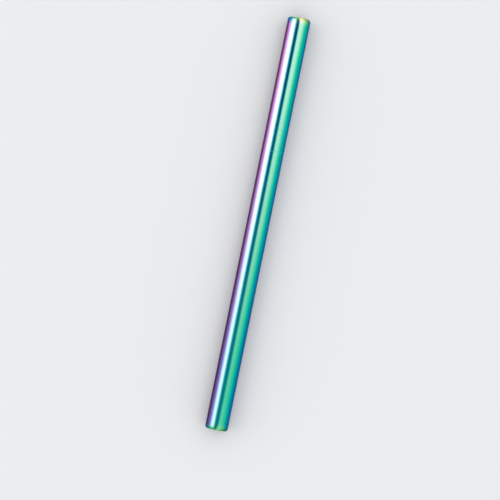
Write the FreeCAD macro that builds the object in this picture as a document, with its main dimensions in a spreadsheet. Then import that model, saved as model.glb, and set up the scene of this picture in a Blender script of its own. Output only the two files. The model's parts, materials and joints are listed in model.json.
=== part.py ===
"""A wide reusable drinking straw, made from one length of thin stainless steel tube.

Both ends are spun inwards: the wall turns through part of a circle towards the bore,
and its cut edge is rounded over to a full bullnose, so that no corner meets the lips.
The wall keeps one thickness all the way along its section.

The straw lies on its side.  Its axis runs along Y, the surface that it lies on is
Z = 0, and the origin is on that surface, under the middle of its length.
Sizes are in millimetres and degrees.
"""

import FreeCAD, Part
import math
import os
import Sketcher

DIMENSIONS = {
    "outer_diameter": 12.0,
    "wall_thickness": 0.5,
    "overall_length": 220.0,
    # at each end, the inside radius of the bend that carries the wall in, and how far it turns
    "lip_bend_radius": 0.9,
    "lip_bend_angle": 60.0,
}

# the point of a sketched line or arc that a constraint holds, as Sketcher counts them from 1
START, END, CENTRE = range(1, 4)
# the sketch's own axes, which it counts down from -1: the horizontal one starts at its origin
# and is the tube's axis, and the vertical one crosses it at the middle of the length
TUBE_AXIS = -1
MID_LENGTH = TUBE_AXIS - 1


def add_sheet(doc):
    """The spreadsheet that drives the model: a name and its value on each row."""
    sheet = doc.addObject("Spreadsheet::Sheet", "Dimensions")
    for row, (name, value) in enumerate(DIMENSIONS.items(), start=1):
        sheet.set(f"A{row}", name)
        sheet.set(f"B{row}", str(value))
        sheet.setAlias(f"B{row}", name)
    doc.recompute()
    return sheet


def origin_plane(body, role):
    """One of the body's own origin planes."""
    return next(f for f in body.Origin.OriginFeatures if f.Role == role)


def constrain(sketch, *constraints):
    """Adds constraints that carry no size, each given as its kind and what it holds."""
    for kind, *held in constraints:
        sketch.addConstraint(Sketcher.Constraint(kind, *held))


def dimension(sketch, name, formula, kind, *held):
    """Adds a named dimension that follows a formula; held ends with its first value."""
    index = sketch.addConstraint(Sketcher.Constraint(kind, *held))
    sketch.renameConstraint(index, name)
    sketch.setExpression(f"Constraints.{name}", formula)


def add_arc(sketch, centre, radius, *angles):
    """Draws a circular arc anticlockwise from the lower of two angles to the higher."""
    circle = Part.Circle(centre, FreeCAD.Vector(0, 0, 1), radius)
    return sketch.addGeometry(Part.ArcOfCircle(circle, min(angles), max(angles)))


def add_lip(sketch, sheet, side):
    """The turned-in end of the wall: two bends about one centre, and the bullnose between.

    side is 1 for the end at the right of the sketch and -1 for the end at its left.
    Returns both bends, the bullnose, and the point at which a bend meets the straight wall.
    """
    half_wall = sheet.wall_thickness / 2
    inner_radius = sheet.lip_bend_radius
    middle_radius = inner_radius + half_wall
    outer_radius = middle_radius + half_wall
    turn = math.radians(sheet.lip_bend_angle)

    # the bullnose is what reaches furthest along the tube, so the bend starts short of it
    reach = middle_radius * math.sin(turn)
    centre = FreeCAD.Vector(
        side * (sheet.overall_length / 2 - half_wall - reach),
        sheet.outer_diameter / 2 - outer_radius,
        0,
    )
    nose = centre + FreeCAD.Vector(side * reach, middle_radius * math.cos(turn), 0)

    # both bends turn from straight outwards to the direction of the mouth
    outwards = math.pi / 2
    mouth = outwards - side * turn
    outer_bend = add_arc(sketch, centre, outer_radius, outwards, mouth)
    inner_bend = add_arc(sketch, centre, inner_radius, outwards, mouth)
    bullnose = add_arc(sketch, nose, half_wall, mouth, mouth - side * math.pi)

    # arcs run anticlockwise, so at the right they end at the wall and at the left they start there
    near_wall, near_mouth = (END, START) if side > 0 else (START, END)
    constrain(
        sketch,
        ("Coincident", outer_bend, CENTRE, inner_bend, CENTRE),
        ("Tangent", outer_bend, near_mouth, bullnose, near_wall),
        ("Tangent", inner_bend, near_mouth, bullnose, near_mouth),
    )
    return outer_bend, inner_bend, bullnose, near_wall


def add_wall_section(body, sheet):
    """The section of the wall above the axis, from one mouth to the other."""
    sketch = body.newObject("Sketcher::SketchObject", "WallSection")
    sketch.AttachmentSupport = [(origin_plane(body, "YZ_Plane"), "")]
    sketch.MapMode = "FlatFace"

    left_outer, left_inner, left_nose, left_wall = add_lip(sketch, sheet, -1)
    right_outer, right_inner, right_nose, right_wall = add_lip(sketch, sheet, 1)

    # the straight wall: its outside and its bore, each from one end's bend to the other's
    straights = []
    for left, right in ((left_outer, right_outer), (left_inner, right_inner)):
        ends = sketch.getPoint(left, left_wall), sketch.getPoint(right, right_wall)
        line = sketch.addGeometry(Part.LineSegment(*ends))
        constrain(
            sketch,
            ("Tangent", line, START, left, left_wall),
            ("Tangent", line, END, right, right_wall),
            ("Horizontal", line),
        )
        straights.append(line)
    outside, bore = straights

    # the two ends are alike
    constrain(
        sketch,
        ("Equal", left_inner, right_inner),
        ("Symmetric", left_nose, CENTRE, right_nose, CENTRE, MID_LENGTH),
    )

    dimension(sketch, "outer_radius", "Dimensions.outer_diameter / 2",
              "DistanceY", TUBE_AXIS, START, outside, START, sheet.outer_diameter / 2)
    dimension(sketch, "wall", "Dimensions.wall_thickness",
              "DistanceY", bore, START, outside, START, sheet.wall_thickness)
    dimension(sketch, "lip_bend", "Dimensions.lip_bend_radius",
              "Radius", right_inner, sheet.lip_bend_radius)
    dimension(sketch, "lip_turn", "Dimensions.lip_bend_angle * 1 deg",
              "Angle", right_inner, math.radians(sheet.lip_bend_angle))
    dimension(sketch, "nose_spacing", "Dimensions.overall_length - Dimensions.wall_thickness",
              "DistanceX", left_nose, CENTRE, right_nose, CENTRE,
              sheet.overall_length - sheet.wall_thickness)
    return sketch


def add_straw(doc, sheet):
    """The whole straw, turned about the tube's axis and laid on the surface."""
    body = doc.addObject("PartDesign::Body", "straw_tube")
    body.Label = "straw_tube"
    section = add_wall_section(body, sheet)
    tube = body.newObject("PartDesign::Revolution", "Tube")
    tube.Profile = section
    tube.ReferenceAxis = (section, ["H_Axis"])
    tube.Angle = 360
    body.Tip = tube
    body.setExpression("Placement.Base.z", "Dimensions.outer_diameter / 2")
    return body


def check(doc, bodies):
    """Stops with a message if anything failed to build or a sketch is free to move."""
    for item in doc.Objects:
        if {"Invalid", "Error"} & set(item.State):
            raise RuntimeError(f"{item.Label} did not build: {item.State}")
        if item.TypeId == "Sketcher::SketchObject" and not item.FullyConstrained:
            raise RuntimeError(f"{item.Label} is not fully constrained")
    for body in bodies:
        if body.Shape.isNull() or not body.Shape.isValid() or len(body.Shape.Solids) != 1:
            raise RuntimeError(f"{body.Label} is not one valid solid")


def main():
    doc = FreeCAD.newDocument("DrinkingStraw")
    sheet = add_sheet(doc)
    bodies = [add_straw(doc, sheet)]
    doc.recompute()
    check(doc, bodies)
    os.makedirs("parts", exist_ok=True)
    for body in bodies:
        body.Shape.exportStep(f"parts/{body.Label}.step")
        box = body.Shape.optimalBoundingBox(False, False)
        print(f"{body.Label}: {box.XLength:.3f} x {box.YLength:.3f} x {box.ZLength:.3f} mm, "
              f"lowest point {box.ZMin:.4f} mm, volume {body.Shape.Volume:.1f} mm3")


main()
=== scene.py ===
"""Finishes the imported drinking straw: a rainbow coating on polished steel, in a pale studio.

Lengths are in metres in the row frame.  The straw lies along Y on the floor, which is Z = 0.
Angles round the tube are counted from its top, and grow towards +X.
"""

import json
import math

import bmesh
import bpy
from bpy.props import FloatProperty, FloatVectorProperty, IntProperty, PointerProperty
from bpy.types import Operator, Panel, PropertyGroup
from mathutils import Matrix, Vector


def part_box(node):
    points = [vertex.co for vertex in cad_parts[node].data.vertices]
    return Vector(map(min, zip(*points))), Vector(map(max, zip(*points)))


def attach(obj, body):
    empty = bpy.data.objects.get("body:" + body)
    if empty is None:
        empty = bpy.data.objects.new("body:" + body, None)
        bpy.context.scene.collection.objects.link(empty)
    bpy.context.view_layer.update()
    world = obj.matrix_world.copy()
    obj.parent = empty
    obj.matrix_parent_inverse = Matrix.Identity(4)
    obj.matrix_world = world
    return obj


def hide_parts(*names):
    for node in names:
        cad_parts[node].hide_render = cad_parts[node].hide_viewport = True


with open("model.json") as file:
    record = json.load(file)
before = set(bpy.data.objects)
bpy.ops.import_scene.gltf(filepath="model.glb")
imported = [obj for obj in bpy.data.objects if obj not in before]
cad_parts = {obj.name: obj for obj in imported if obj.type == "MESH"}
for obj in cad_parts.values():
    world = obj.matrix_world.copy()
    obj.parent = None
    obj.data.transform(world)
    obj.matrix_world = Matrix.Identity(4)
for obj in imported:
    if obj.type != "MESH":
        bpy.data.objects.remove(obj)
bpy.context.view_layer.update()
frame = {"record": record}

bl_info = {
    "name": "Rainbow Steel Straw",
    "version": (1, 0, 0),
    "blender": (4, 5, 0),
    "location": "View3D > Sidebar > Straw",
    "description": "Makes a rainbow-coated steel drinking straw and the studio it lies in",
    "category": "Object",
}

TUBE_NODE = "straw_tube"
TUBE_LOW, TUBE_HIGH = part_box(TUBE_NODE)
WALL_MOUNT = next(m for m in frame["record"]["mounts"] if m["name"] == "outside_wall")
AXIS_CENTRE = Vector(WALL_MOUNT["pos_m"])

TUBE_PIECE = "coated_tube"
COATING_LAYER = "coating"

MICRON = 1e-6


# ---------------------------------------------------------------- sizes and colours


def length_property(name, description, default):
    return FloatProperty(
        name=name, description=description, default=default, min=0, unit="LENGTH", precision=5
    )


def angle_property(name, description, degrees):
    return FloatProperty(
        name=name, description=description, default=math.radians(degrees), subtype="ANGLE"
    )


def amount_property(name, description, default):
    return FloatProperty(name=name, description=description, default=default, min=0)


def share_property(name, description, default):
    return FloatProperty(
        name=name, description=description, default=default, min=0, max=1, subtype="FACTOR"
    )


def count_property(name, description, default):
    return IntProperty(name=name, description=description, default=default, min=3)


def span_property(name, description, low, high, **kind):
    """Two values, between which something fades."""
    return FloatVectorProperty(
        name=name, description=description, default=(low, high), size=2, precision=5, **kind
    )


def colour_property(name, description, *default):
    return FloatVectorProperty(
        name=name, description=description, default=default, size=3, min=0, max=1, subtype="COLOR"
    )


class TubeSizes(PropertyGroup):
    """The straw's own sizes."""

    length: length_property(
        "Length", "From the tip of one lip to the tip of the other", TUBE_HIGH.y - TUBE_LOW.y
    )
    radius: length_property(
        "Outside radius", "Radius of the straight wall's outside", WALL_MOUNT["dims"]["r_mm"] / 1000
    )
    wall: length_property("Wall", "Thickness of the steel", 0.0005)
    lip_bend: length_property("Lip bend", "Inside radius of the bend at each end", 0.0009)
    lip_turn: angle_property("Lip turn", "How far each end's wall turns towards the bore", 60)
    sides: count_property("Sides", "Facets round the tube", 144)
    ring_step: length_property("Ring step", "Spacing of the rings along the outside", 0.005)
    bore_step: length_property("Bore step", "Spacing of the rings along the bore", 0.0025)
    bend_steps: count_property("Bend steps", "Rings round the outside of each lip's bend", 14)
    edge_steps: count_property("Edge steps", "Rings round each lip's rounded edge", 12)
    throat_steps: count_property("Throat steps", "Rings round the inside of each lip's bend", 10)
    coated_depth: length_property(
        "Coated depth", "How far the coating reaches into the bore from each mouth", 0.0015
    )


class CoatingColours(PropertyGroup):
    """The rainbow coating's colours, from one side of the tube round to the other."""

    dusk: colour_property("Dusk", "Dark violet of the underside", 0.12, 0.05, 0.16)
    plum: colour_property("Plum", "Dark purple red, low on the left", 0.18, 0.075, 0.105)
    mulberry: colour_property("Mulberry", "Purple red above the plum", 0.37, 0.10, 0.22)
    orchid: colour_property("Orchid", "Magenta of the left flank", 0.68, 0.18, 0.67)
    lilac: colour_property("Lilac", "Light violet above the magenta", 0.84, 0.42, 1.0)
    # pale edge of the painted highlight, over the coating's violet
    mist_highlight_edge: colour_property("Mist", "Pale violet beside the pearl band", 0.80, 0.66, 0.98)
    # painted highlight where the key light is mirrored, pale over the coating's own pale colour
    pearl_highlight: colour_property("Pearl", "Nearly white band, upper left", 0.78, 0.785, 0.78)
    # pale edge of the painted highlight, over the coating's green
    dew_highlight_edge: colour_property("Dew", "Palest green beside the pearl band", 0.48, 0.77, 0.78)
    aqua: colour_property("Aqua", "Light blue-green beside the pearl", 0.08, 0.62, 0.73)
    cobalt: colour_property("Cobalt", "Strong blue beside the dark line", 0.012, 0.345, 0.52)
    # painted dark reflection of the dim strip overhead, over the coating's deep blue
    navy_dark_reflection: colour_property("Navy", "Deep blue line along the top", 0.0, 0.08, 0.18)
    spray: colour_property("Spray", "Light blue-green beside the mint", 0.02, 0.44, 0.46)
    # painted highlight on the upper right, pale over the coating's green
    mint_highlight: colour_property("Mint", "Pale green band, upper right", 0.475, 0.90, 0.685)
    jade: colour_property("Jade", "Fresh green below the mint", 0.21, 0.75, 0.52)
    emerald: colour_property("Emerald", "Full green of the right flank", 0.02, 0.60, 0.37)
    viridian: colour_property("Viridian", "Deeper green below it", 0.001, 0.49, 0.32)
    teal: colour_property("Teal", "Blue-green, low on the right", 0.0, 0.465, 0.385)
    lapis: colour_property("Lapis", "Blue of the right edge", 0.0, 0.27, 0.49)

    grape: colour_property("Grape", "Dark left edge, far end", 0.15, 0.06, 0.15)
    violet: colour_property("Violet", "Left flank, far end", 0.18, 0.095, 0.30)
    iris: colour_property("Iris", "Blue violet above it, far end", 0.18, 0.165, 0.50)
    periwinkle: colour_property("Periwinkle", "Light blue above that, far end", 0.195, 0.32, 0.74)
    # painted highlight at the far end, dimmer, over the coating's own pale colour
    frost_highlight: colour_property("Frost", "The pearl band, far end", 0.58, 0.76, 0.73)
    # this and the next: painted dark reflection at the far end, over the coating's blue-green
    lagoon_dark_reflection: colour_property("Lagoon", "The dark line, far end", 0.0015, 0.29, 0.395)
    pool: colour_property("Pool", "The dark line's right edge, far end", 0.0015, 0.225, 0.265)
    fern: colour_property("Fern", "The mint band's left edge, far end", 0.014, 0.34, 0.26)
    clover: colour_property("Clover", "The mint band, far end", 0.10, 0.63, 0.38)
    shamrock: colour_property("Shamrock", "Below it, far end", 0.05, 0.55, 0.35)
    lake: colour_property("Lake", "Low on the right, far end", 0.002, 0.33, 0.385)
    harbour: colour_property("Harbour", "Right edge, far end", 0.004, 0.225, 0.45)

    indigo: colour_property("Indigo", "Left edge, near the tips", 0.06, 0.13, 0.42)
    cornflower: colour_property("Cornflower", "Left flank, near the tips", 0.03, 0.32, 0.83)
    shoal: colour_property("Shoal", "Above it, near the tips", 0.045, 0.50, 0.76)
    # painted highlight near the tips, over the coating's own pale colour
    milk_highlight: colour_property("Milk", "The pearl band, near the tips", 0.75, 0.81, 0.77)
    foam: colour_property("Foam", "Beside the pearl, near the tips", 0.10, 0.56, 0.39)
    # painted dark reflection near the tips, over the coating's dark green
    bottle_dark_reflection: colour_property("Bottle", "The dark line, near the tips", 0.003, 0.165, 0.15)
    # painted highlight on the upper right near the tips, pale over the coating's green
    cream_highlight: colour_property("Cream", "The mint band, near the tips", 0.87, 0.97, 0.84)
    lime: colour_property("Lime", "Below it, near the tips", 0.62, 0.86, 0.41)
    grass: colour_property("Grass", "Right flank, near the tips", 0.34, 0.79, 0.25)
    leaf: colour_property("Leaf", "Lower right flank, near the tips", 0.12, 0.60, 0.17)
    ivy: colour_property("Ivy", "Low on the right, near the tips", 0.052, 0.43, 0.18)
    pine: colour_property("Pine", "Right edge, near the tips", 0.035, 0.32, 0.24)

    marine: colour_property("Marine", "Both sides of the rims", 0.03, 0.29, 0.46)
    reef: colour_property("Reef", "Left flank of the rims", 0.015, 0.40, 0.40)
    moss: colour_property("Moss", "Upper left of the rims", 0.14, 0.61, 0.27)
    primrose: colour_property("Primrose", "Upper right of the rims", 0.95, 0.93, 0.44)
    amber: colour_property("Amber", "Below it on the rims", 0.80, 0.66, 0.22)
    olive: colour_property("Olive", "Right flank of the rims", 0.44, 0.42, 0.14)
    lichen: colour_property("Lichen", "Low on the right of the rims", 0.18, 0.34, 0.20)
    meadow: colour_property("Meadow", "Tint of the lip at the far end", 0.45, 0.84, 0.5)
    verdure: colour_property("Verdure", "Tint of the rim at the far end", 0.18, 0.72, 0.58)

    # the bore's bare steel beside the mouths, and the painted shade that darkens it deeper in
    steel: colour_property("Steel", "Bare steel of the bore beside the mouths", 0.64, 0.63, 0.61)
    bore_painted_shade: colour_property("Drawn steel", "Dull steel deep in the bore", 0.20, 0.197, 0.19)
    glancing: colour_property("Glancing", "Tint of the coating seen edge on", 0.30, 0.35, 0.55)


class SteelFinish(PropertyGroup):
    """Where the coating's colours lie, and how smooth the steel is under them."""

    thickest: angle_property("Thickest", "Where the film is thickest, from the top towards +X", 12)
    wander: angle_property("Wander", "How far the clouds shift the colours round the tube", 2.52)
    cloud_scale: amount_property("Cloud scale", "Clouds in the film to the metre", 420)
    cloud_detail: amount_property("Cloud detail", "Detail of the clouds", 3)

    near_fade: span_property(
        "Near end's fade", "Shares of the length between which the ends' colours mix", 0.05, 1.05
    )
    # the painted highlight on the upper left: where along the tube its colours change, and where
    # round the tube it lies
    highlight_fade: span_property("Pearl's fade", "The same for the pearl band", 0.08, 0.75)
    highlight_middle: angle_property("Pearl's middle", "Middle of the pearl band, from the top", -27)
    highlight_sides: span_property(
        "Pearl's sides", "Angles from that middle between which the pearl band's fade ends",
        math.radians(8), math.radians(15), unit="ROTATION",
    )
    lip_fade: span_property(
        "Lips' fade", "From the tips, where the lips' colours give way", 0.0012, 0.0044,
        unit="LENGTH",
    )
    lip_trace: share_property("Lips' trace", "What is left of them after that", 0.09)
    trace_fade: span_property(
        "Trace's fade", "From the tips, where that too gives way", 0.002, 0.018,
        unit="LENGTH",
    )
    far_lips: share_property("Far lips", "Strength of the lips' colours at the far end", 0.35)
    rim_start: length_property("Rims' start", "From the tips, where the rims' colours fade", 0.0005)
    near_rim: length_property("Near rim", "Where they end at the near tip", 0.0019)
    far_rim: length_property("Far rim", "Where they end at the far tip", 0.0023)
    # how deep in the bore the painted shade reaches its darkest
    bore_shade_depth: length_property("Bore's fade", "How far in the bore is fully dull", 0.009)

    mark_edge: span_property(
        "Marks' edge", "Half width of a polishing mark, clear and at most", 0.0001, 0.0003,
        unit="LENGTH",
    )
    marked_side: span_property(
        "Marked side", "Angles from the top between which the marks' tint sets in",
        math.radians(-16), math.radians(-10), unit="ROTATION",
    )
    line_scale: FloatVectorProperty(
        name="Line scale", description="Drawn lines to the metre, along each axis",
        default=(300, 9000, 300), size=3, subtype="XYZ",
    )
    line_detail: amount_property("Line detail", "Detail of the drawn lines", 2)
    line_bump: share_property("Line bump", "Strength of the lines' bump", 0.12)
    line_height: length_property("Line height", "Height of the lines", 2 * MICRON)

    coated_roughness: share_property("Coated roughness", "Roughness of the coated steel", 0.16)
    bore_roughness: share_property("Bore roughness", "Roughness of the bare steel", 0.40)
    line_roughness: share_property("Line roughness", "How much the lines vary it", 0.08)
    mark_roughness: share_property("Mark roughness", "What the polishing marks add to it", 0.3)
    bore_metallic: share_property("Bore metallic", "How metallic the dull bore is", 0.5)


class StageSettings(PropertyGroup):
    """The camera, the room, the key light and the floor."""

    camera_height: length_property("Camera height", "From the tube's axis to the camera", 1.052)
    lens: FloatProperty(
        name="Lens", description="Focal length", default=144.2, min=1, unit="CAMERA"
    )
    lean: angle_property("Lean", "How far the straw leans to the right in the view", 11.5)
    straw_right: length_property(
        "Right of centre", "How far right of the view's centre the straw's middle is", 0.00413
    )
    straw_up: length_property(
        "Above centre", "How far above the view's centre the straw's middle is", 0.01363
    )
    floor_radius: length_property("Floor radius", "Radius of the round floor", 8)
    floor_sides: count_property("Floor sides", "Sides of the round floor", 96)
    floor_colour: colour_property("Floor", "Pale floor", 0.88, 0.90, 0.91)
    floor_grain: amount_property("Floor grain", "Spots of the floor's grain to the metre", 900)
    grain_share: share_property("Grain share", "How far the grain turns the floor white", 0.05)
    floor_roughness: share_property("Floor roughness", "Roughness of the floor", 0.9)
    floor_gloss: share_property("Floor gloss", "Strength of the floor's reflections", 0.1)
    room_light: amount_property("Room light", "Brightness of the room", 1.0)
    horizon: colour_property(
        "Horizon", "Foot of the room's walls, as pale as the floor", 0.80, 0.815, 0.825
    )
    horizon_top: angle_property("Horizon's top", "How high the walls' foot fades into the room", 10)
    strip_light: amount_property("Strip light", "Brightness of the dim strip overhead", 0.65)
    strip_left: angle_property("Strip left", "Left edge of the dim strip, from overhead", -28)
    strip_right: angle_property("Strip right", "Right edge of the dim strip, from overhead", 6)
    strip_edge: angle_property("Strip edge", "Softness of the dim strip's edges", 7)
    strip_ends: span_property(
        "Strip's ends", "How far along the tube a direction points as the strip fades", 0.55, 0.95
    )
    key_light: amount_property("Key light", "What the key light adds to the room", 0.30)
    key_side: angle_property("Key side", "Direction of the key light, from overhead", -52)
    key_width: angle_property("Key width", "How wide the key light is", 48)


# ---------------------------------------------------------------- shader graphs


# where the Mix node keeps its sockets for colours
MIX_FACTOR = 0
MIX_FIRST = 6
MIX_SECOND = 7
MIX_RESULT = 2


class Wire:
    """A node's output socket: arithmetic on one that carries a number adds Math nodes."""

    def __init__(self, graph, socket):
        self.graph = graph
        self.socket = socket

    def math(self, operation, *others):
        inputs = dict(enumerate((self, *others)))
        return self.graph.wire("ShaderNodeMath", {"operation": operation}, inputs)

    def __add__(self, other):
        return self.math("ADD", other)

    def __radd__(self, other):
        return self.math("ADD", other)

    def __sub__(self, other):
        return self.math("SUBTRACT", other)

    def __rsub__(self, other):
        return self.graph.wire("ShaderNodeMath", {"operation": "SUBTRACT"}, {0: other, 1: self})

    def __mul__(self, other):
        return self.math("MULTIPLY", other)

    def __rmul__(self, other):
        return self.math("MULTIPLY", other)

    def __truediv__(self, other):
        return self.math("DIVIDE", other)

    def __abs__(self):
        return self.math("ABSOLUTE")

    def ramp_up(self, low, high):
        """0 up to low, 1 from high on, and a smooth step between the two."""
        settings = {"interpolation_type": "SMOOTHSTEP"}
        inputs = {"Value": self, "From Min": low, "From Max": high}
        return self.graph.wire("ShaderNodeMapRange", settings, inputs)


class Graph:
    """The nodes of one material, lamp or world."""

    def __init__(self, tree):
        tree.nodes.clear()
        self.tree = tree

    def node(self, kind, settings=None, inputs=None):
        """Adds a node: its type, its settings, then the value or the link of each socket."""
        made = self.tree.nodes.new(kind)
        for name, value in (settings or {}).items():
            if name == "stops":
                set_stops(made.color_ramp, value)
            else:
                setattr(made, name, value)
        for key, value in (inputs or {}).items():
            if isinstance(value, Wire):
                self.tree.links.new(value.socket, made.inputs[key])
            else:
                made.inputs[key].default_value = value
        return made

    def wire(self, kind, settings=None, inputs=None, output=0):
        """Adds a node and returns one of its outputs."""
        return Wire(self, self.node(kind, settings, inputs).outputs[output])

    def mix(self, factor, first, second, blend_type="MIX"):
        """Mixes two colours."""
        settings = {"data_type": "RGBA", "blend_type": blend_type}
        inputs = {MIX_FACTOR: factor, MIX_FIRST: first, MIX_SECOND: second}
        return self.wire("ShaderNodeMix", settings, inputs, MIX_RESULT)


def set_stops(ramp, stops):
    """Gives a ramp its stops, each a place from 0 to 1 and a colour."""
    while len(ramp.elements) > 1:
        ramp.elements.remove(ramp.elements[-1])
    for place, colour in stops:
        element = ramp.elements.new(place)
        element.color = colour
    # a ramp always keeps one stop, so its own first one goes last
    ramp.elements.remove(ramp.elements[0])


def opaque(colour):
    return (*colour, 1)


WHITE = (1, 1, 1)


# ---------------------------------------------------------------- coated steel

# the colours round the tube at one end of it: how far each is from the top, in degrees
ROUND_NEAR_END = (
    (-110, "dusk"),
    (-67, "plum"),
    (-58, "mulberry"),
    (-51, "orchid"),
    (-45.5, "lilac"),
    # the next four: painted highlight where the key light is mirrored, with its pale edges
    (-38, "mist_highlight_edge"),
    (-33, "pearl_highlight"),
    (-18.7, "pearl_highlight"),
    (-15.9, "dew_highlight_edge"),
    (-13.2, "aqua"),
    (-10.8, "cobalt"),
    # the next two: painted dark reflection of the dim strip overhead
    (-6.5, "navy_dark_reflection"),
    (0.2, "navy_dark_reflection"),
    (3.4, "spray"),
    # the next two: painted highlight on the upper right, pale over the coating's green
    (7.5, "mint_highlight"),
    (19, "mint_highlight"),
    (27, "jade"),
    (34, "emerald"),
    (41, "viridian"),
    (51, "teal"),
    (64, "lapis"),
    (80, "lapis"),
    (122, "dusk"),
)
# and at the other end
ROUND_FAR_END = (
    (-110, "dusk"),
    (-59, "grape"),
    (-50, "violet"),
    (-43, "iris"),
    (-35.5, "periwinkle"),
    # the next two: painted highlight, dimmer at this end
    (-27, "frost_highlight"),
    (-20, "frost_highlight"),
    (-13, "aqua"),
    # the next three: painted dark reflection of the dim strip overhead
    (-8.5, "lagoon_dark_reflection"),
    (-4, "lagoon_dark_reflection"),
    (0, "pool"),
    (5, "fern"),
    (12.5, "clover"),
    (24, "shamrock"),
    (35, "viridian"),
    (46, "lake"),
    (57, "harbour"),
    (80, "harbour"),
    (122, "dusk"),
)
# near both tips
ROUND_THE_LIPS = (
    (-110, "dusk"),
    (-63, "indigo"),
    (-52, "cornflower"),
    (-41, "shoal"),
    # the next two: painted highlight near the tips
    (-31, "milk_highlight"),
    (-20, "milk_highlight"),
    (-12, "foam"),
    # the next two: painted dark reflection of the dim strip overhead
    (-6, "bottle_dark_reflection"),
    (-1, "bottle_dark_reflection"),
    # the next two: painted highlight on the upper right, near the tips
    (5, "cream_highlight"),
    (17, "cream_highlight"),
    (26, "lime"),
    (32, "grass"),
    (40, "leaf"),
    (51, "ivy"),
    (62, "pine"),
    (80, "lapis"),
    (122, "dusk"),
)
# and on the rims
ROUND_THE_RIMS = (
    (-110, "dusk"),
    (-62, "marine"),
    (-50, "marine"),
    (-42, "reef"),
    (-32, "moss"),
    (-11, "moss"),
    (-7, "ivy"),
    (-4, "ivy"),
    (0, "primrose"),
    (14, "primrose"),
    (24, "amber"),
    (35, "olive"),
    (47, "lichen"),
    (62, "marine"),
    (80, "lapis"),
    (122, "dusk"),
)
# faint rings left by polishing: metres from the middle of the length, and how strong each is
POLISHING_MARKS = (
    (0.0387, 0.5),
    (0.0428, 0.15),
    (0.0475, 0.2),
    (0.0504, 0.25),
    (0.0515, 0.25),
    (0.0541, 0.2),
    (0.0559, 0.25),
)


def round_the_tube(graph, colours, table, film, thickest):
    """The colours of one table, at the angle that film gives from where it is thickest."""
    stops = [
        (0.5 + (degrees - math.degrees(thickest)) / 360, opaque(getattr(colours, name)))
        for degrees, name in table
    ]
    return graph.wire("ShaderNodeValToRGB", {"stops": stops}, {"Fac": film / math.tau + 0.5})


def polishing_rings(along, finish):
    """How strong the polishing marks are at a place along the tube."""
    return sum(
        (1 - abs(along - where).ramp_up(*finish.mark_edge)) * strength
        for where, strength in POLISHING_MARKS
    )


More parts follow.
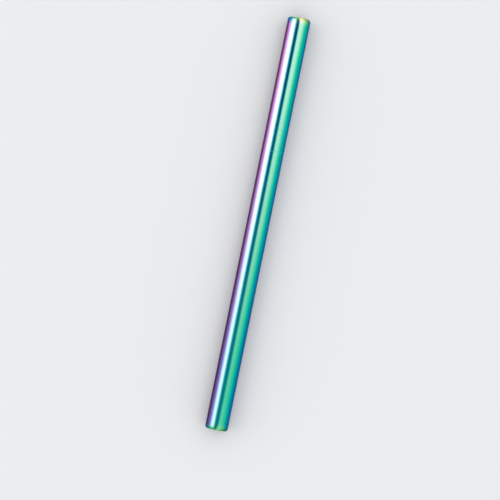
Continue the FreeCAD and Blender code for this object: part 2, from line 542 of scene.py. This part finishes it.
def rainbow_steel(name, edge_tint, context):
    """Steel under a rainbow film, which gives way to bare drawn steel down the bore; the bore's
    colour is painted darker deeper in, as shade.
    """
    colours = context.scene.straw_colours
    sizes = context.scene.straw_sizes
    finish = context.scene.straw_finish
    material = bpy.data.materials.new(name)
    material.use_nodes = True
    graph = Graph(material.node_tree)

    place = graph.wire("ShaderNodeTexCoord", output="Object")
    centred = graph.wire("ShaderNodeMapping", inputs={"Vector": place, "Location": -AXIS_CENTRE})
    split = graph.node("ShaderNodeSeparateXYZ", inputs={"Vector": centred})
    across, along, up = (Wire(graph, socket) for socket in split.outputs)
    from_end = sizes.length / 2 - abs(along)
    nearness = along / sizes.length + 0.5

    # the angle from where the film is thickest, so that its jump by a full turn is below
    thickest = finish.thickest
    sideways = across * math.cos(thickest) - up * math.sin(thickest)
    upwards = across * math.sin(thickest) + up * math.cos(thickest)
    angle = sideways.math("ARCTAN2", upwards)
    from_top = angle + thickest
    cloud = graph.wire(
        "ShaderNodeTexNoise",
        inputs={"Vector": place, "Scale": finish.cloud_scale, "Detail": finish.cloud_detail},
    )
    film = angle + (cloud - 0.5) * finish.wander
    far, near, lips, rims = (
        round_the_tube(graph, colours, table, film, thickest)
        for table in (ROUND_FAR_END, ROUND_NEAR_END, ROUND_THE_LIPS, ROUND_THE_RIMS)
    )

    # from the far end's colours to the near end's, sooner in the band of the painted highlight on
    # the upper left
    near_end = nearness.ramp_up(*finish.near_fade)
    highlight_end = nearness.ramp_up(*finish.highlight_fade)
    off_highlight = abs(from_top - finish.highlight_middle).ramp_up(*finish.highlight_sides)
    rainbow = graph.mix(highlight_end + off_highlight * (near_end - highlight_end), far, near)

    # the tips, which are greener at the far end
    lip_tint = graph.mix(near_end, opaque(colours.meadow), opaque(WHITE))
    rim_tint = graph.mix(near_end, opaque(colours.verdure), opaque(WHITE))
    lips = graph.mix(1.0, lips, lip_tint, "MULTIPLY")
    rims = graph.mix(1.0, rims, rim_tint, "MULTIPLY")
    off_lip = from_end.ramp_up(*finish.lip_fade) * (1 - finish.lip_trace)
    off_trace = from_end.ramp_up(*finish.trace_fade) * finish.lip_trace
    lip_strength = near_end * (1 - finish.far_lips) + finish.far_lips
    rainbow = graph.mix((1 - off_lip - off_trace) * lip_strength, rainbow, lips)
    rim_end = near_end * (finish.near_rim - finish.far_rim) + finish.far_rim
    rainbow = graph.mix(1 - from_end.ramp_up(finish.rim_start, rim_end), rainbow, rims)

    marks = polishing_rings(along, finish)
    tinted_marks = marks * from_top.ramp_up(*finish.marked_side)
    rainbow = graph.mix(tinted_marks, rainbow, opaque(colours.shoal))

    coating = graph.wire("ShaderNodeAttribute", {"attribute_name": COATING_LAYER}, output="Fac")
    # bare steel in the bore, painted darker deeper in as shade
    steel = graph.mix(
        from_end.ramp_up(0, finish.bore_shade_depth), opaque(colours.steel), opaque(colours.bore_painted_shade)
    )
    streaks = graph.wire("ShaderNodeMapping", inputs={"Vector": place, "Scale": finish.line_scale})
    lines = graph.wire(
        "ShaderNodeTexNoise", inputs={"Vector": streaks, "Scale": 1.0, "Detail": finish.line_detail}
    )
    bump = graph.wire(
        "ShaderNodeBump",
        inputs={"Strength": finish.line_bump, "Distance": finish.line_height, "Height": lines},
    )
    roughness = coating * (finish.coated_roughness - finish.bore_roughness) + finish.bore_roughness
    shader = graph.wire(
        "ShaderNodeBsdfPrincipled",
        inputs={
            "Base Color": graph.mix(coating, steel, rainbow),
            "Metallic": coating * (1 - finish.bore_metallic) + finish.bore_metallic,
            "Roughness": roughness
            + (lines - 0.5) * finish.line_roughness
            + marks * finish.mark_roughness,
            "Specular Tint": opaque(edge_tint),
            "Normal": bump,
        },
    )
    graph.node("ShaderNodeOutputMaterial", inputs={"Surface": shader})
    return material


# ---------------------------------------------------------------- the tube


def turn_vertex(bm, vertex, centre, angle, steps):
    """Carries a vertex along an arc in the section's plane, and returns the arc's last vertex."""
    made = bmesh.ops.spin(
        bm, geom=[vertex], cent=centre, axis=(1, 0, 0), angle=angle, steps=steps
    )
    return made["geom_last"][0]


def run_vertex(bm, vertex, along, step):
    """Carries a vertex along Y in equal steps of about one length, and returns the last."""
    steps = round(abs(along) / step)
    for _ in range(steps):
        made = bmesh.ops.extrude_vert_indiv(bm, verts=[vertex])
        vertex = made["verts"][0]
        bmesh.ops.translate(bm, verts=[vertex], vec=(0, along / steps, 0))
    return vertex


def draw_section(bm, sizes):
    """Half of the wall's section: along the outside from mid-length, round a lip and back
    along the bore.  Gives each vertex its share of coating."""
    coating = bm.verts.layers.float.new(COATING_LAYER)
    top = AXIS_CENTRE.z + sizes.radius
    outer_bend = sizes.lip_bend + sizes.wall
    middle_bend = sizes.lip_bend + sizes.wall / 2
    reach = middle_bend * math.sin(sizes.lip_turn)
    straight = sizes.length / 2 - sizes.wall / 2 - reach
    bend_centre = Vector((0, straight, top - outer_bend))
    nose_centre = bend_centre + Vector((0, reach, middle_bend * math.cos(sizes.lip_turn)))

    first = bm.verts.new((0, 0, top))
    wall_end = run_vertex(bm, first, straight, sizes.ring_step)
    lip_end = turn_vertex(bm, wall_end, bend_centre, -sizes.lip_turn, sizes.bend_steps)
    mouth = turn_vertex(bm, lip_end, nose_centre, -math.pi, sizes.edge_steps)
    for vertex in bm.verts:
        vertex[coating] = 1.0
    outside = set(bm.verts)
    bore_end = turn_vertex(bm, mouth, bend_centre, sizes.lip_turn, sizes.throat_steps)
    run_vertex(bm, bore_end, -straight, sizes.bore_step)
    for vertex in set(bm.verts) - outside:
        depth = sizes.length / 2 - vertex.co.y
        vertex[coating] = max(0.0, 1 - depth / sizes.coated_depth)


def make_tube_mesh(sizes):
    """Turns the section about the axis, and mirrors that half to make the other."""
    bm = bmesh.new()
    draw_section(bm, sizes)
    bmesh.ops.spin(
        bm, geom=bm.verts[:] + bm.edges[:], cent=AXIS_CENTRE, axis=(0, 1, 0),
        angle=math.tau, steps=sizes.sides, use_merge=True,
    )
    bmesh.ops.mirror(
        bm, geom=bm.verts[:] + bm.edges[:] + bm.faces[:], matrix=Matrix.Identity(4),
        merge_dist=MICRON, axis="Y",
    )
    bmesh.ops.remove_doubles(bm, verts=bm.verts, dist=MICRON)
    bmesh.ops.recalc_face_normals(bm, faces=bm.faces)
    for face in bm.faces:
        face.smooth = True
        outwards = face.calc_center_median() - AXIS_CENTRE
        outwards.y = 0
        # the second material is for what faces the axis
        face.material_index = int(face.normal.dot(outwards) < 0)
    mesh = bpy.data.meshes.new(TUBE_PIECE)
    bm.to_mesh(mesh)
    bm.free()
    return mesh


class STRAW_OT_make_tube(Operator):
    """Make the straw: a steel tube with both ends rolled in, under its rainbow coating"""

    bl_idname = "straw.make_tube"
    bl_label = "Make the Tube"

    def execute(self, context):
        mesh = make_tube_mesh(context.scene.straw_sizes)
        glancing = context.scene.straw_colours.glancing
        mesh.materials.append(rainbow_steel("coated_steel", glancing, context))
        mesh.materials.append(rainbow_steel("bore_steel", WHITE, context))
        tube = bpy.data.objects.new(TUBE_PIECE, mesh)
        context.scene.collection.objects.link(tube)
        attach(tube, "root")
        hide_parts(TUBE_NODE)
        return {"FINISHED"}


# ---------------------------------------------------------------- the stage


def make_floor(stage):
    """A wide round pale floor at Z = 0."""
    bm = bmesh.new()
    bmesh.ops.create_circle(
        bm, cap_ends=True, segments=stage.floor_sides, radius=stage.floor_radius
    )
    mesh = bpy.data.meshes.new("floor")
    bm.to_mesh(mesh)
    bm.free()
    material = bpy.data.materials.new("floor_paper")
    material.use_nodes = True
    graph = Graph(material.node_tree)
    place = graph.wire("ShaderNodeTexCoord", output="Object")
    grain = graph.wire("ShaderNodeTexNoise", inputs={"Vector": place, "Scale": stage.floor_grain})
    shader = graph.wire(
        "ShaderNodeBsdfPrincipled",
        inputs={
            "Base Color": graph.mix(
                grain * stage.grain_share, opaque(stage.floor_colour), opaque(WHITE)
            ),
            "Roughness": stage.floor_roughness,
            "Specular IOR Level": stage.floor_gloss,
        },
    )
    graph.node("ShaderNodeOutputMaterial", inputs={"Surface": shader})
    mesh.materials.append(material)
    floor = bpy.data.objects.new("floor", mesh)
    bpy.context.scene.collection.objects.link(floor)


def add_key_light(stage):
    """A wide soft light from the upper left."""
    lamp = bpy.data.lights.new("key_light", "SUN")
    lamp.angle = stage.key_width
    # a light this wide has this solid angle, across its own direction
    lamp.energy = stage.key_light * math.pi * math.sin(stage.key_width / 2) ** 2
    made = bpy.data.objects.new("key_light", lamp)
    made.matrix_world = Matrix.Rotation(stage.key_side, 4, "Y")
    bpy.context.scene.collection.objects.link(made)


def light_room(stage):
    """A plain white room with a dim strip overhead, which the top of the tube mirrors."""
    world = bpy.data.worlds.new("studio")
    world.use_nodes = True
    graph = Graph(world.node_tree)
    direction = graph.wire("ShaderNodeTexCoord", output="Generated")
    split = graph.node("ShaderNodeSeparateXYZ", inputs={"Vector": direction})
    across, along, up = (Wire(graph, socket) for socket in split.outputs)

    roll = across.math("ARCTAN2", up)
    edge = stage.strip_edge
    strip = roll.ramp_up(stage.strip_left - edge, stage.strip_left + edge)
    strip *= 1 - roll.ramp_up(stage.strip_right - edge, stage.strip_right + edge)
    strip *= 1 - abs(along).ramp_up(*stage.strip_ends)
    brightness = stage.room_light - strip * (stage.room_light - stage.strip_light)
    risen = up.ramp_up(0, math.sin(stage.horizon_top))
    background = graph.wire(
        "ShaderNodeBackground",
        inputs={
            "Color": graph.mix(risen, opaque(stage.horizon), opaque(WHITE)),
            "Strength": brightness,
        },
    )
    graph.node("ShaderNodeOutputWorld", inputs={"Surface": background})
    bpy.context.scene.world = world


def make_camera(stage):
    """Looks straight down, turned so that the straw leans to the right."""
    data = bpy.data.cameras.new("camera")
    data.lens = stage.lens
    camera = bpy.data.objects.new("camera", data)
    turn = Matrix.Rotation(stage.lean, 4, "Z")
    offset = Matrix.Translation((-stage.straw_right, -stage.straw_up, stage.camera_height))
    camera.matrix_world = Matrix.Translation(AXIS_CENTRE) @ turn @ offset
    bpy.context.scene.collection.objects.link(camera)
    bpy.context.scene.camera = camera


class STRAW_OT_set_stage(Operator):
    """Make the floor, the key light, the room's light and the camera"""

    bl_idname = "straw.set_stage"
    bl_label = "Set the Stage"

    def execute(self, context):
        stage = context.scene.straw_stage
        make_floor(stage)
        add_key_light(stage)
        light_room(stage)
        make_camera(stage)
        context.scene.view_settings.view_transform = "Standard"
        return {"FINISHED"}


# ---------------------------------------------------------------- the add-on


class STRAW_PT_panel(Panel):
    """Lists the steps that make the straw and its studio"""

    bl_idname = "STRAW_PT_panel"
    bl_label = "Steel Straw"
    bl_space_type = "VIEW_3D"
    bl_region_type = "UI"
    bl_category = "Straw"

    def draw(self, context):
        for step in STEPS:
            self.layout.operator(step.bl_idname)
        for group in SETTINGS:
            box = self.layout.box()
            settings = getattr(context.scene, group)
            for name in settings.bl_rna.properties.keys():
                if name not in ("rna_type", "name"):
                    box.prop(settings, name)


STEPS = (STRAW_OT_make_tube, STRAW_OT_set_stage)
SETTINGS = {
    "straw_sizes": TubeSizes,
    "straw_colours": CoatingColours,
    "straw_finish": SteelFinish,
    "straw_stage": StageSettings,
}


def register():
    for group in (*SETTINGS.values(), *STEPS, STRAW_PT_panel):
        bpy.utils.register_class(group)
    for name, group in SETTINGS.items():
        setattr(bpy.types.Scene, name, PointerProperty(type=group))


def unregister():
    for name in SETTINGS:
        delattr(bpy.types.Scene, name)
    for group in (STRAW_PT_panel, *STEPS, *SETTINGS.values()):
        bpy.utils.unregister_class(group)


def main():
    register()
    bpy.ops.straw.make_tube()
    bpy.ops.straw.set_stage()


if __name__ == "__main__":
    main()
